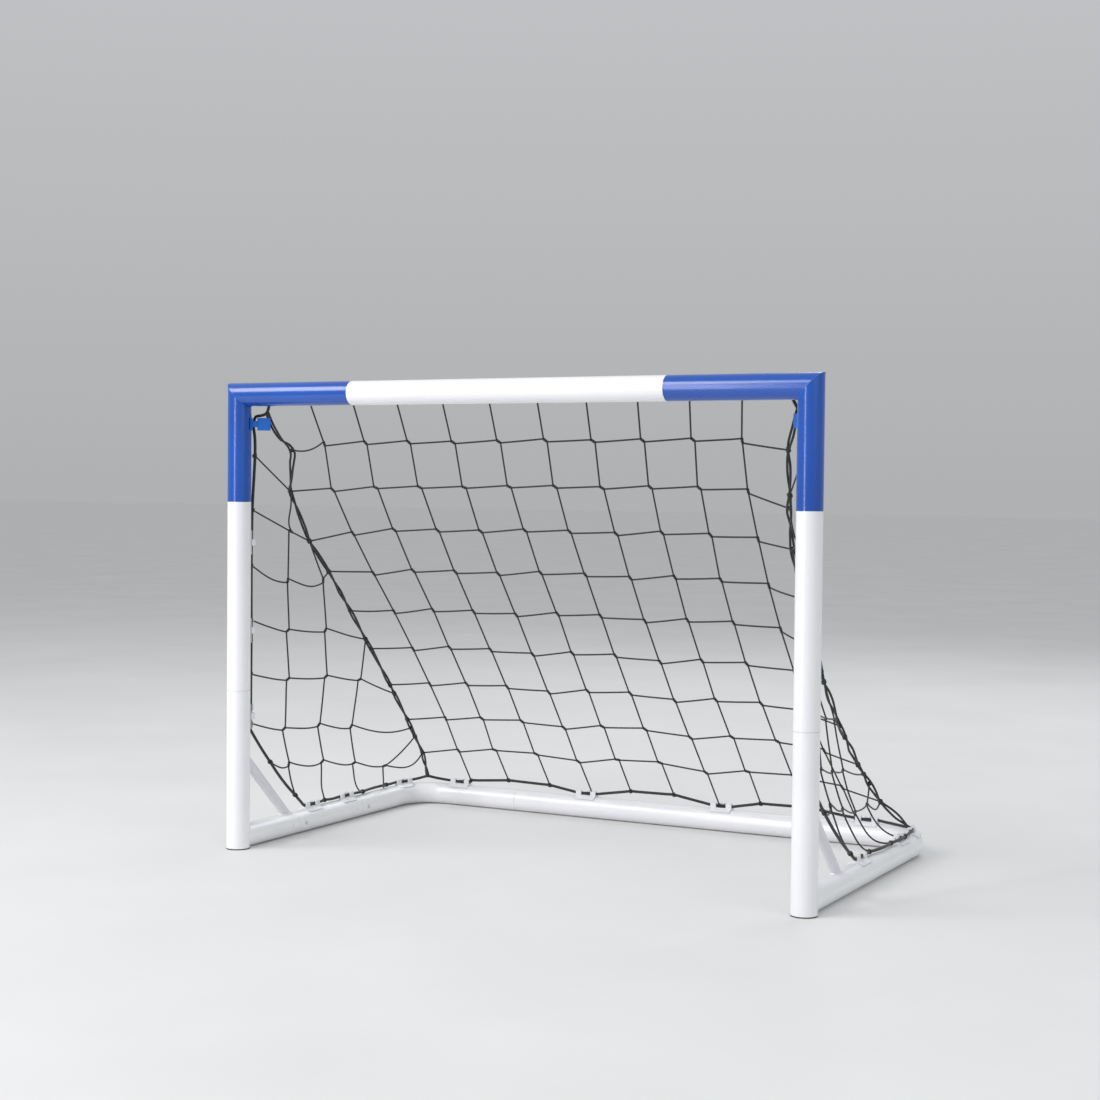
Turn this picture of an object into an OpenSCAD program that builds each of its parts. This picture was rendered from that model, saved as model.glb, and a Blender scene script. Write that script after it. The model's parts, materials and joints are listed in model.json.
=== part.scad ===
// Small free-standing football goal: a knock-down frame of round tubes that push
// together over inner sleeves, a U-shaped ground frame, two foot braces and a
// laced net.  Origin: on the ground, at the middle of the width and of the depth.
// +X runs along the crossbar, +Y from the mouth to the back, +Z is up.

/* [Overall size] */
// Width over the outside of the posts
goal_w = 1200; // [1000:10:1500]
// Height over the crossbar
goal_h = 895; // [800:5:1100]
// Depth from the front of the posts to the back of the rear tube
goal_d = 700; // [640:10:900]

/* [Tubes] */
// Outside diameter of the frame tubes
tube_d = 45; // [45:0.5:46]
// Wall thickness of the frame tubes
wall = 1.2; // [1.1:0.1:1.6]
// Open joint line left between two tubes
seam_gap = 0.6; // [0.4:0.1:1]
// Bend radius of the rear ground corners, on the tube's centre line
bend_r = 80; // [70:1:100]

/* [Where the tubes part] */
// Half length of the crossbar's middle tube and of the rear tube
bar_half = 320; // [300:1:340]
// Height of the joint between the blue arm and the upper post
post_joint_z = 668; // [640:1:680]
// Height of the joint between the upper and the lower post
foot_joint_z = 306; // [290:1:320]
// Length of the foot stub, from the post's centre line
stub_len = 174.5; // [168:0.5:190]
// Distance of the side joint behind the front face of the posts
side_joint_y = 425; // [420:1:430]

/* [Foot braces] */
// Outside diameter of a brace
brace_d = 19; // [14:0.5:20]
// Height at which a brace meets the post
brace_z = 170; // [150:1:180]
// Distance behind the post at which a brace meets the stub
brace_y = 154; // [140:1:156]

/* [Joint sleeves and snap buttons] */
// Length of a sleeve
sleeve_len = 90; // [80:1:100]
// Wall thickness of a sleeve
sleeve_wall = 1.2; // [1.1:0.1:1.8]
// Diameter of a snap button
button_d = 8; // [7:0.5:9]
// Distance of a button and of a rivet from the joint
lock_offset = 22; // [20:1:25]
// How far a button stands proud of the tube
button_proud = 2; // [1.5:0.1:2.4]

/* [Net and clips] */
// Length of a net clip along its tube
clip_len = 46; // [42:1:50]
// Diameter of the border rope
rope_d = 6; // [5:0.2:6]
// Distance of the border rope from a tube's centre line
rope_u = 29; // [28.8:0.1:29.4]
// Thickness of the net panels
net_t = 2; // [2:0.5:4]
// Half distance between the two seam ropes
seam_x = 555; // [550:1:558]

/* [Hidden] */
$fn = 64;
r = tube_d / 2;
ri = r - wall;
sleeve_r = ri - 0.1;
sleeve_ri = sleeve_r - sleeve_wall;
hx = goal_w / 2 - r;
hy = goal_d / 2 - r;
bar_z = goal_h - r;
half_gap = seam_gap / 2;
stub_y = -hy + stub_len;
side_y = side_joint_y - goal_d / 2;
bend_x = hx - bend_r;
bend_y = hy - bend_r;
rope_z = r + rope_u;
bar_clip_x = [-155, 155];
arm_clip_x = 465;
rear_clip_x = 155;
corner_clip_x = 465;
left_clip_y = [-85, 40];
right_clip_y = [-51, 172];
bend_clip_a = 12;
post_clip_z = [254, 420, 590];
post_clip_a = 75;
hook_a = 45;
hook_z = 817;
core_arm = 70;
pin_r = button_d / 2;
pin_hole_r = pin_r + 0.08;
leaf_u = 17.6;
leaf_t = 1;
leaf_w = 10;
leaf_back = 7;
rivet_r = 2;
saddle_t = 2.1;
blue = [0.02, 0.28, 0.66];
white = [0.93, 0.94, 0.96];
steel = [0.72, 0.73, 0.75];
black = [0.05, 0.06, 0.06];

// ---- Placing -----------------------------------------------------------------

// Local +Z runs along +X; local +Y stays +Y; local +X points down.
module along_x(x, y, z) {
  translate([x, y, z]) rotate([0, 90, 0]) children();
}

// Local +Z runs along +Y; local +X stays +X; local +Y points down.
module along_y(x, y, z) {
  translate([x, y, z]) rotate([-90, 0, 0]) children();
}

// side = -1 is the left as drawn, side = 1 its mirror image.
module on_side(side) {
  if (side > 0) mirror([1, 0, 0]) children();
  else children();
}

// Local +X turned radially outwards at angle a, at distance w along the tube.
module radial(a, w) {
  rotate([0, 0, a]) translate([0, 0, w]) rotate([0, 90, 0]) children();
}

// The six sleeve joints of the left half.  Local +Z points into the tube that
// has the button's hole, local +X the way the button points.
module at_joint(name) {
  if (name == "bar") along_x(-bar_half, -hy, bar_z) rotate([0, 0, 90]) children();
  if (name == "arm") translate([-hx, -hy, post_joint_z]) rotate([180, 0, 0])
    rotate([0, 0, -90]) children();
  if (name == "post") translate([-hx, -hy, foot_joint_z]) rotate([0, 0, 90]) children();
  if (name == "foot") along_y(-hx, stub_y, r) children();
  if (name == "side") along_y(-hx, side_y, r) children();
  if (name == "rear") along_x(-bar_half, hy, r) rotate([0, 0, 45]) children();
}

// ---- Shared shapes -----------------------------------------------------------

module pipe(len, ro, rin) {
  difference() {
    cylinder(h = len, r = ro);
    translate([0, 0, -1]) cylinder(h = len + 2, r = rin);
  }
}

// The button's hole beyond a joint and the rivet's hole before it.
module lock_holes() {
  radial(0, lock_offset) translate([0, 0, 10]) cylinder(h = 20, r = pin_hole_r);
  radial(0, -lock_offset) translate([0, 0, 10]) cylinder(h = 20, r = rivet_r + 0.05);
}

// The hole for a net clip's peg, in the frame of its tube.
module peg_hole(a, w) {
  radial(a, w) translate([0, 0, 15]) cylinder(h = 12, r = 3.05);
}

// Everything on one side of the corner's 45-degree joint plane.
module mitre_half(s) {
  translate([-hx, -hy, bar_z]) rotate([0, -45, 0])
    translate([s > 0 ? seam_gap : -400 - seam_gap, -60, -200]) cube([400, 120, 400]);
}

// The thin slice between the two corner arms.
module mitre_slice() {
  translate([-hx, -hy, bar_z]) rotate([0, -45, 0])
    translate([-seam_gap + 0.05, -60, -60]) cube([2 * seam_gap - 0.1, 120, 120]);
}

module sleeve() {
  difference() {
    translate([0, 0, -sleeve_len / 2]) pipe(sleeve_len, sleeve_r, sleeve_ri);
    lock_holes();
  }
}

module rivet() {
  difference() {
    radial(0, -lock_offset) translate([0, 0, 21.5]) cylinder(h = r - 20.3, r = 3.4);
    translate([0, 0, -60]) cylinder(h = 60, r = r + 0.03);
  }
  radial(0, -lock_offset) translate([0, 0, sleeve_ri - 1]) cylinder(h = r - sleeve_ri + 1.4, r = rivet_r);
}

// A snap button: the pin and the flat leaf spring arm it stands on.
module button() {
  color(steel) {
    radial(0, lock_offset) translate([0, 0, leaf_u - 0.1])
      cylinder(h = r + button_proud - 0.6 - leaf_u + 0.1, r = pin_r);
    radial(0, lock_offset) translate([0, 0, r + button_proud - 0.6])
      cylinder(h = 0.6, r1 = pin_r, r2 = pin_r - 0.7);
    translate([leaf_u - leaf_t, -leaf_w / 2, -leaf_back])
      cube([leaf_t, leaf_w, leaf_back + lock_offset + 6]);
  }
}

// The fixed half of the spring: its bend and the arm on the far wall.
module spring_back() {
  translate([-leaf_u, -leaf_w / 2, -leaf_back - 0.6])
    cube([leaf_t, leaf_w, leaf_back + lock_offset + 6]);
  translate([0, 0, -leaf_back - 0.6]) rotate([-90, 0, 0]) rotate_extrude(angle = 180)
    translate([leaf_u - leaf_t, -leaf_w / 2]) square([leaf_t, leaf_w]);
}

// A three-finger rope clip; it lies on local +X, along local Z.
module net_clip_body() {
  half = clip_len / 2;
  intersection() {
    translate([0, 0, -half]) cylinder(h = clip_len, r = r + saddle_t);
    translate([r - 4.5, -25, -half]) cube([15, 50, clip_len]);
  }
  translate([r - 1, -6.8, -half]) cube([3.9, 13.6, clip_len]);
  for (w = [-half, half - 12]) {
    translate([r + 2, 3.6, w]) cube([10.3, 3.2, 12]);
    translate([r + 10, -1.5, w]) cube([2.3, 8.3, 12]);
  }
  translate([r + 2, -6.8, -6]) cube([10.3, 3.2, 12]);
  translate([r + 10, -6.8, -6]) cube([2.3, 8.3, 12]);
}

module net_clip() {
  difference() {
    net_clip_body();
    translate([0, 0, -clip_len]) cylinder(h = 2 * clip_len, r = r + 0.05);
  }
  clip_peg();
}

// The peg that holds a net clip in the hole of its tube.
module clip_peg() {
  radial(0, 0) translate([0, 0, ri + 0.05]) cylinder(h = wall + 2, r = 3);
}

// A straight length of rope between two points, with rounded ends.
module rope_piece(a, b, rad) {
  v = b - a;
  len = norm(v);
  translate(a) rotate([0, acos(v[2] / len), atan2(v[1], v[0])]) cylinder(h = len, r = rad);
  translate(b) sphere(r = rad + 0.12);
}

module rope(points, rad) {
  $fn = 16;
  translate(points[0]) sphere(r = rad);
  for (i = [0 : len(points) - 2]) rope_piece(points[i], points[i + 1], rad);
}

// ---- Front frame -------------------------------------------------------------

module crossbar_center() {
  color(white) difference() {
    along_x(-bar_half + half_gap, -hy, bar_z) pipe(2 * bar_half - seam_gap, r, ri);
    for (s = [-1, 1]) on_side(s) at_joint("bar") lock_holes();
    for (x = bar_clip_x) along_x(x, -hy, bar_z) peg_hole(90, 0);
  }
}

module bar_arm(side) {
  color(blue) on_side(side) difference() {
    intersection() {
      along_x(-goal_w / 2 - 20, -hy, bar_z) pipe(goal_w / 2 + 20 - bar_half - half_gap, r, ri);
      mitre_half(1);
    }
    at_joint("bar") lock_holes();
    along_x(-arm_clip_x, -hy, bar_z) peg_hole(90, 0);
  }
}

module post_arm(side) {
  color(blue) on_side(side) difference() {
    intersection() {
      translate([-hx, -hy, post_joint_z + half_gap]) pipe(goal_h - post_joint_z + 20, r, ri);
      mitre_half(-1);
    }
    at_joint("arm") lock_holes();
    translate([-hx, -hy, hook_z]) peg_hole(hook_a, 0);
  }
}

// The elbow inside each top corner, with a thin lip between the two arms.
module corner_core(side) {
  color(blue) on_side(side) difference() {
    union() {
      intersection() {
        along_x(-hx - 40, -hy, bar_z) cylinder(h = 40 + core_arm, r = sleeve_r);
        mitre_half(1);
      }
      intersection() {
        translate([-hx, -hy, bar_z - core_arm]) cylinder(h = core_arm + 40, r = sleeve_r);
        mitre_half(-1);
      }
      intersection() {
        along_x(-hx - 40, -hy, bar_z) cylinder(h = 80, r = r);
        translate([-goal_w / 2, -hy - 60, bar_z - 60]) cube([120, 120, 60 + r]);
        mitre_slice_wide();
      }
    }
    along_x(-hx, -hy, bar_z) cylinder(h = core_arm + 1, r = sleeve_ri);
    translate([-hx, -hy, bar_z - core_arm - 1]) cylinder(h = core_arm + 1, r = sleeve_ri);
    translate([-hx, -hy, hook_z]) peg_hole(hook_a, 0);
  }
}

// The slice a little thicker inside, so that it joins both arms of the core.
module mitre_slice_wide() {
  mitre_slice();
  intersection() {
    along_x(-hx - 40, -hy, bar_z) cylinder(h = 80, r = sleeve_r);
    translate([-hx, -hy, bar_z - 40]) cylinder(h = 80, r = sleeve_r);
    translate([-hx, -hy, bar_z]) rotate([0, -45, 0])
      translate([-2 * seam_gap, -60, -60]) cube([4 * seam_gap, 120, 120]);
  }
}

module upper_post(side) {
  color(white) on_side(side) difference() {
    translate([-hx, -hy, foot_joint_z + half_gap])
      pipe(post_joint_z - foot_joint_z - seam_gap, r, ri);
    at_joint("arm") lock_holes();
    at_joint("post") lock_holes();
    for (z = [post_clip_z[1], post_clip_z[2]]) translate([-hx, -hy, z]) peg_hole(post_clip_a, 0);
  }
}

module lower_post(side) {
  color(white) on_side(side) difference() {
    translate([-hx, -hy, 2.1]) pipe(foot_joint_z - half_gap - 2.1, r, ri);
    at_joint("post") lock_holes();
    translate([-hx, -hy, post_clip_z[0]]) peg_hole(post_clip_a, 0);
  }
}

module post_end_caps() {
  color(black) for (s = [-1, 1]) on_side(s) {
    translate([-hx, -hy, 0]) cylinder(h = 2, r = r);
    translate([-hx, -hy, 1.9]) pipe(14, sleeve_r, sleeve_ri);
  }
}

// ---- Feet --------------------------------------------------------------------

module foot_stub(side) {
  color(white) on_side(side) difference() {
    along_y(-hx, -hy, r) pipe(stub_len - half_gap, r, ri);
    translate([-hx, -hy, -1]) cylinder(h = 60, r = r + 0.5);
    at_joint("foot") lock_holes();
  }
}

module foot_brace(side) {
  dy = brace_y;
  dz = brace_z - 2 * r;
  ext = 40;
  color(white) on_side(side) difference() {
    translate([-hx, -hy + r, brace_z]) rotate([-90 - atan2(dz, dy - r), 0, 0])
      translate([0, 0, -ext]) pipe(norm([dy - r, dz]) + 2 * ext, brace_d / 2, brace_d / 2 - 1.2);
    translate([-hx, -hy, 0]) cylinder(h = goal_h, r = r + 0.05);
    translate([-hx - 50, -hy - 100, 0]) cube([100, 100, goal_h]);
    along_y(-hx, -hy, r) cylinder(h = goal_d, r = r + 0.05);
    translate([-hx - 50, -hy, -100]) cube([100, goal_d, 100 + r]);
  }
}

// ---- Ground frame ------------------------------------------------------------

module side_tube(side, clip_y) {
  color(white) difference() {
    on_side(side) difference() {
      along_y(-hx, stub_y + half_gap, r) pipe(side_y - stub_y - seam_gap, r, ri);
      at_joint("foot") lock_holes();
      at_joint("side") lock_holes();
    }
    for (y = clip_y) along_y(side * hx, y, r) peg_hole(-90, 0);
  }
}

module corner_path(rad) {
  along_y(-hx, side_y - 1, r) cylinder(h = bend_y - side_y + 1, r = rad);
  translate([-bend_x, bend_y, r]) rotate([0, 0, 90]) rotate_extrude(angle = 90)
    translate([bend_r, 0]) circle(r = rad);
  along_x(-bend_x, hy, r) cylinder(h = bend_x - bar_half + 1, r = rad);
}

module rear_corner(side) {
  color(white) difference() {
    on_side(side) difference() {
      corner_path(r);
      corner_path(ri);
      along_y(-hx, side_y - 2, r) cylinder(h = 2 + half_gap, r = r + 1);
      along_x(-bar_half - half_gap, hy, r) cylinder(h = 3, r = r + 1);
      at_joint("side") lock_holes();
      at_joint("rear") lock_holes();
      along_x(-corner_clip_x, hy, r) peg_hole(180, 0);
      bend_clip_place() peg_hole(0, 0);
    }
    if (side > 0) along_y(hx, right_clip_y[1], r) peg_hole(-90, 0);
  }
}

module bend_clip_place() {
  translate([-bend_x - bend_r * cos(bend_clip_a), bend_y + bend_r * sin(bend_clip_a), r])
    rotate([0, 0, -bend_clip_a]) rotate([-90, 0, 0]) rotate([0, 0, -90]) children();
}

module rear_tube() {
  color(white) difference() {
    along_x(-bar_half + half_gap, hy, r) pipe(2 * bar_half - seam_gap, r, ri);
    for (s = [-1, 1]) on_side(s) at_joint("rear") lock_holes();
    for (x = [-rear_clip_x, rear_clip_x]) along_x(x, hy, r) peg_hole(180, 0);
  }
}

// ---- Sleeves, rivets and springs ---------------------------------------------

module sleeves(names) {
  color(steel) for (s = [-1, 1]) on_side(s) for (n = names) at_joint(n) sleeve();
}

module sleeve_rivets() {
  color(steel) for (s = [-1, 1]) on_side(s)
    for (n = ["bar", "arm", "post", "foot", "side", "rear"]) at_joint(n) rivet();
}

module button_springs() {
  color(steel) for (s = [-1, 1]) on_side(s)
    for (n = ["bar", "arm", "post", "foot", "side", "rear"]) at_joint(n) spring_back();
}

module snap_button(side, name) {
  on_side(side) at_joint(name) button();
}

// ---- Net clips and hooks -----------------------------------------------------

module bar_net_clips() {
  color(white) for (x = bar_clip_x) along_x(x, -hy, bar_z) rotate([0, 0, 90]) net_clip();
}

module corner_net_clips() {
  color(blue) for (s = [-1, 1]) on_side(s)
    along_x(-arm_clip_x, -hy, bar_z) rotate([0, 0, 90]) net_clip();
}

module post_net_clips() {
  color(white) for (s = [-1, 1]) on_side(s)
    for (z = post_clip_z) translate([-hx, -hy, z]) rotate([0, 0, post_clip_a]) net_clip();
}

module bend_clip() {
  difference() {
    bend_clip_place() net_clip_body();
    corner_path(r + 0.05);
  }
  bend_clip_place() clip_peg();
}

module left_ground_clips() {
  color(white) {
    for (y = left_clip_y) along_y(-hx, y, r) rotate([0, 0, -90]) net_clip();
    bend_clip();
  }
}

module right_ground_clips() {
  color(white) {
    for (y = right_clip_y) along_y(hx, y, r) rotate([0, 0, -90]) net_clip();
    mirror([1, 0, 0]) bend_clip();
  }
}

module rear_ground_clips() {
  color(white) for (x = [-corner_clip_x, -rear_clip_x, rear_clip_x, corner_clip_x])
    along_x(x, hy, r) rotate([0, 0, 180]) net_clip();
}

// A hook with a square head inside each top corner, which holds the net's corner.
module corner_hooks() {
  color(blue) for (s = [-1, 1]) on_side(s)
    translate([-hx, -hy, hook_z]) rotate([0, 0, hook_a]) {
      difference() {
        union() {
          intersection() {
            translate([0, 0, -12]) cylinder(h = 24, r = r + saddle_t);
            translate([18, -25, -12]) cube([15, 50, 24]);
          }
          translate([r - 2, -4, -6]) cube([r - 8, 8, 12]);
        }
        translate([0, 0, -20]) cylinder(h = 40, r = r + 0.05);
      }
      translate([r + 12, -5, -12]) cube([24, 10, 24]);
      radial(0, 0) translate([0, 0, sleeve_ri - 2]) cylinder(h = r - sleeve_ri + 4, r = 3);
    }
}

// ---- Net ---------------------------------------------------------------------

net_top = [-hy + rope_u, bar_z];
net_end = [hy, rope_z];
net_slope = norm(net_end - net_top);
net_fall = atan2(net_top[1] - net_end[1], net_end[0] - net_top[0]);

module rear_net() {
  inset = 14;
  half = seam_x - 8;
  color(black) translate([0, net_top[0], net_top[1]]) rotate([-net_fall, 0, 0])
    translate([-half, inset, -net_t / 2]) cube([2 * half, net_slope - 2 * inset - 3, net_t]);
}

module side_net(side) {
  y0 = -hy + rope_u + 10;
  foot_z = rope_z + 9;
  color(black) on_side(side) translate([-seam_x - 11 - net_t / 2, 0, 0])
    rotate([90, 0, 90]) linear_extrude(height = net_t)
      polygon([
        [y0, post_clip_z[0]],
        [y0, bar_z - 36],
        [y0 + 5, bar_z - 36],
        [hy - 34, rope_z + 33],
        [hy - 44, foot_z],
        [left_clip_y[0] - 8, foot_z]
      ]);
}

function post_rope(side, a, z) = [side * (hx - rope_u * cos(a)), -hy + rope_u * sin(a), z];

// Rope points from the first ground clip up one post and round the top corner.
function front_rope(side, first_y) = [
  [side * hx, first_y - 32, rope_z + 6],
  post_rope(side, post_clip_a, post_clip_z[0] - clip_len / 2 - 4),
  post_rope(side, post_clip_a, post_clip_z[0]),
  post_rope(side, post_clip_a, post_clip_z[1]),
  post_rope(side, post_clip_a, post_clip_z[2] + 26),
  post_rope(side, 58, hook_z - 60),
  [side * (hx - 13.7), -hy + 25.9, hook_z - 2],
  [side * (hx - 16.4), -hy + 28.9, hook_z + 14.5],
  [side * (hx - 26.9), -hy + 31.1, hook_z + 16.5],
  [side * (hx - 36.5), -hy + 36, hook_z + 21],
  [side * (hx - 50), -hy + rope_u + 2, hook_z + 45],
  [side * (hx - 66), -hy + rope_u, bar_z]
];

// A rope point at distance w before or after the middle of the bend's clip.
function bend_rope(side, w) = [
  side * (bend_x + bend_r * cos(bend_clip_a) - w * sin(bend_clip_a)),
  bend_y + bend_r * sin(bend_clip_a) + w * cos(bend_clip_a),
  rope_z
];

// Rope points from the first ground clip to the end of the bend.
function ground_rope(side, first_y) = [
  [side * hx, first_y - 20, rope_z],
  [side * hx, bend_y - 40, rope_z],
  bend_rope(side, -clip_len / 2 - 4),
  bend_rope(side, clip_len / 2 + 4),
  [side * (bend_x + 42), hy - 12, rope_z],
  [side * (bend_x - 5), hy, rope_z]
];

function reversed(v) = [for (i = [len(v) - 1 : -1 : 0]) v[i]];

module border_rope() {
  color(black) {
    rope(
      concat(front_rope(-1, left_clip_y[0]), reversed(front_rope(1, right_clip_y[0]))),
      rope_d / 2
    );
    rope(
      concat(ground_rope(-1, left_clip_y[0]), reversed(ground_rope(1, right_clip_y[0]))),
      rope_d / 2
    );
  }
}

module seam_ropes() {
  a = [-seam_x, net_top[0] + 26, net_top[1] - 34];
  b = [-seam_x, hy - 30, rope_z + 39.4];
  color(black) for (s = [-1, 1]) on_side(s) rope([a, b], rope_d / 2);
}

// ---- Nodes -------------------------------------------------------------------

crossbar_center();
bar_arm(-1);  // left_bar_arm
bar_arm(1);  // right_bar_arm
post_arm(-1);  // left_post_arm
post_arm(1);  // right_post_arm
corner_core(-1);  // left_corner_core
corner_core(1);  // right_corner_core
upper_post(-1);  // left_upper_post
upper_post(1);  // right_upper_post
lower_post(-1);  // left_lower_post
lower_post(1);  // right_lower_post
post_end_caps();
foot_stub(-1);  // left_foot_stub
foot_stub(1);  // right_foot_stub
foot_brace(-1);  // left_foot_brace
foot_brace(1);  // right_foot_brace
side_tube(-1, left_clip_y);  // left_side_tube
side_tube(1, [right_clip_y[0]]);  // right_side_tube
rear_corner(-1);  // left_rear_corner
rear_corner(1);  // right_rear_corner
rear_tube();
sleeves(["bar"]);  // bar_sleeves
sleeves(["arm", "post"]);  // post_sleeves
sleeves(["foot", "side", "rear"]);  // ground_sleeves
sleeve_rivets();
button_springs();
snap_button(-1, "bar");  // left_bar_button
snap_button(1, "bar");  // right_bar_button
snap_button(-1, "arm");  // left_arm_button
snap_button(1, "arm");  // right_arm_button
snap_button(-1, "post");  // left_post_button
snap_button(1, "post");  // right_post_button
snap_button(-1, "foot");  // left_foot_button
snap_button(1, "foot");  // right_foot_button
snap_button(-1, "side");  // left_side_button
snap_button(1, "side");  // right_side_button
snap_button(-1, "rear");  // left_rear_button
snap_button(1, "rear");  // right_rear_button
bar_net_clips();
corner_net_clips();
post_net_clips();
left_ground_clips();
right_ground_clips();
rear_ground_clips();
corner_hooks();
rear_net();
side_net(-1);  // left_side_net
side_net(1);  // right_side_net
border_rope();
seam_ropes();
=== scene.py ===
import json
import math
import random

import bpy
import numpy as np
from mathutils import Matrix, Vector


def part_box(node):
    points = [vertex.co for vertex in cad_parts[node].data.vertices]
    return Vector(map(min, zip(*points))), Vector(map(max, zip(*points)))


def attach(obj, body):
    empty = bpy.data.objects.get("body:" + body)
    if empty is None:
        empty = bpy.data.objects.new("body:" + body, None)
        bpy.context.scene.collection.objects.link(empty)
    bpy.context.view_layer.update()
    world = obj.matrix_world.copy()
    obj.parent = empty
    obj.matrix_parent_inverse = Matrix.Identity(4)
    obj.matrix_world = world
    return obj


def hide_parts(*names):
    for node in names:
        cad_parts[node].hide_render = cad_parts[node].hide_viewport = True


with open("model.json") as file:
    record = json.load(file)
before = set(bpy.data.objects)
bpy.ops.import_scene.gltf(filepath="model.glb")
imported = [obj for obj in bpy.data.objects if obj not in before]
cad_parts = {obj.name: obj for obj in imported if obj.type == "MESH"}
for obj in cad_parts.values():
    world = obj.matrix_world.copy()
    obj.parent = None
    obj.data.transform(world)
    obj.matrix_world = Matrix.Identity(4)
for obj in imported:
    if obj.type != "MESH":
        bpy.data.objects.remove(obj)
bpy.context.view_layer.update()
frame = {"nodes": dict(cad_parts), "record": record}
NODES = frame["nodes"]
ROOT = "goal"

# ---- Sizes, read from the frame --------------------------------------------------------

# Metres. The goal faces -Y and its left side is at -X. A side is -1 (left) or 1 (right).
rear_lo, rear_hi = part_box("rear_tube")
post_lo, post_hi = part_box("left_upper_post")
bar_lo, bar_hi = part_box("crossbar_center")
hook_lo, hook_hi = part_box("corner_hooks")
TUBE_R = (rear_hi.z - rear_lo.z) / 2
POST_X = -(post_lo.x + post_hi.x) / 2
POST_Y = (post_lo.y + post_hi.y) / 2
REAR_Y = (rear_lo.y + rear_hi.y) / 2
BAR_Z = (bar_lo.z + bar_hi.z) / 2
HOOK_Z = (hook_lo.z + hook_hi.z) / 2
GROUND_Z = TUBE_R
BEND_R = 0.080                # the rear corner tubes, along their middle line
BEND_X = POST_X - BEND_R
BEND_Y = REAR_Y - BEND_R
CLIP_HALF = 0.023             # half the length of a rope clip

CORD_R = 0.0016
SEAM_R = 0.0022
ROPE_R = 0.0029
ROPE_U = 0.029                # from a tube's middle to the middle of the rope in its clips
ROPE_Z = GROUND_Z + ROPE_U

X_AXIS, Y_AXIS, Z_AXIS = np.eye(3)

# ---- Camera ----------------------------------------------------------------------------

FOCAL = 1.7620909             # focal length as a share of the picture's width
SENSOR = 36.0                 # millimetres
CAM_AT = Vector((1.68592, -3.33408, 0.71195))
CAM_YAW, CAM_PITCH, CAM_ROLL = 0.4862, 0.0352, 0.0095


def make_camera():
    forward = Vector((
        -math.sin(CAM_YAW) * math.cos(CAM_PITCH),
        math.cos(CAM_YAW) * math.cos(CAM_PITCH),
        -math.sin(CAM_PITCH),
    ))
    level = Vector((math.cos(CAM_YAW), math.sin(CAM_YAW), 0.0))
    lift = level.cross(forward)
    right = level * math.cos(CAM_ROLL) + lift * math.sin(CAM_ROLL)
    up = lift * math.cos(CAM_ROLL) - level * math.sin(CAM_ROLL)
    data = bpy.data.cameras.new("camera")
    data.sensor_width = SENSOR
    data.lens = FOCAL * SENSOR
    data.clip_end = 60.0
    cam = bpy.data.objects.new("camera", data)
    turn = Matrix((right, up, -forward)).transposed().to_4x4()
    cam.matrix_world = Matrix.Translation(CAM_AT) @ turn
    bpy.context.scene.collection.objects.link(cam)
    bpy.context.scene.camera = cam


make_camera()

# ---- Mesh helpers ----------------------------------------------------------------------


def new_mesh(name, verts, faces, material, uvs=None, smooth=True):
    me = bpy.data.meshes.new(name)
    me.from_pydata([tuple(v) for v in verts], [], faces)
    if uvs is not None:
        layer = me.uv_layers.new(name="UVMap")
        loops = np.zeros(len(me.loops), dtype=np.int64)
        me.loops.foreach_get("vertex_index", loops)
        layer.data.foreach_set("uv", np.asarray(uvs, dtype=np.float32)[loops].ravel())
    me.polygons.foreach_set("use_smooth", [smooth] * len(me.polygons))
    me.update()
    me.materials.append(material)
    ob = bpy.data.objects.new(name, me)
    bpy.context.scene.collection.objects.link(ob)
    return ob


class Tubes:
    """Collects round tubes along paths, and makes one mesh of them."""

    CAP_BULGE = 0.5           # how far an end cap stands out, in radii

    def __init__(self, sides=8):
        self.sides = sides
        self.verts, self.faces, self.uvs = [], [], []

    def add(self, path, radius, closed=False, caps=True):
        pts = np.asarray(path, dtype=float)
        n = len(pts)
        if closed:
            tan = np.roll(pts, -1, 0) - np.roll(pts, 1, 0)
        else:
            tan = np.gradient(pts, axis=0)
        tan /= np.linalg.norm(tan, axis=1)[:, None] + 1e-12
        ref = np.array([0.0, 0.0, 1.0]) if abs(tan[0][2]) < 0.9 else np.array([1.0, 0.0, 0.0])
        nrm = np.zeros_like(pts)
        v = ref - tan[0] * ref.dot(tan[0])
        for i in range(n):
            v = v - tan[i] * v.dot(tan[i])
            v /= np.linalg.norm(v)
            nrm[i] = v
        bin_ = np.cross(tan, nrm)
        rad = np.broadcast_to(np.asarray(radius, dtype=float), (n,))
        step = np.r_[0.0, np.cumsum(np.linalg.norm(np.diff(pts, axis=0), axis=1))]
        base = len(self.verts)
        for i in range(n):
            for k in range(self.sides + 1):
                a = 2 * math.pi * k / self.sides
                off = (nrm[i] * math.cos(a) + bin_[i] * math.sin(a)) * rad[i]
                self.verts.append(pts[i] + off)
                self.uvs.append((step[i], k / self.sides))
        ring = self.sides + 1
        for i in range(n - 1):
            for k in range(self.sides):
                a = base + i * ring + k
                self.faces.append((a, a + 1, a + ring + 1, a + ring))
        if closed:
            for k in range(self.sides):
                a = base + (n - 1) * ring + k
                b = base + k
                self.faces.append((a, a + 1, b + 1, b))
        elif caps:
            for i, flip in ((0, True), (n - 1, False)):
                mid = len(self.verts)
                bulge = -self.CAP_BULGE if flip else self.CAP_BULGE
                self.verts.append(pts[i] + tan[i] * rad[i] * bulge)
                self.uvs.append((step[i], 0.5))
                for k in range(self.sides):
                    a = base + i * ring + k
                    self.faces.append((a + 1, a, mid) if flip else (a, a + 1, mid))

    def build(self, name, material):
        return new_mesh(name, self.verts, self.faces, material, self.uvs)


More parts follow.
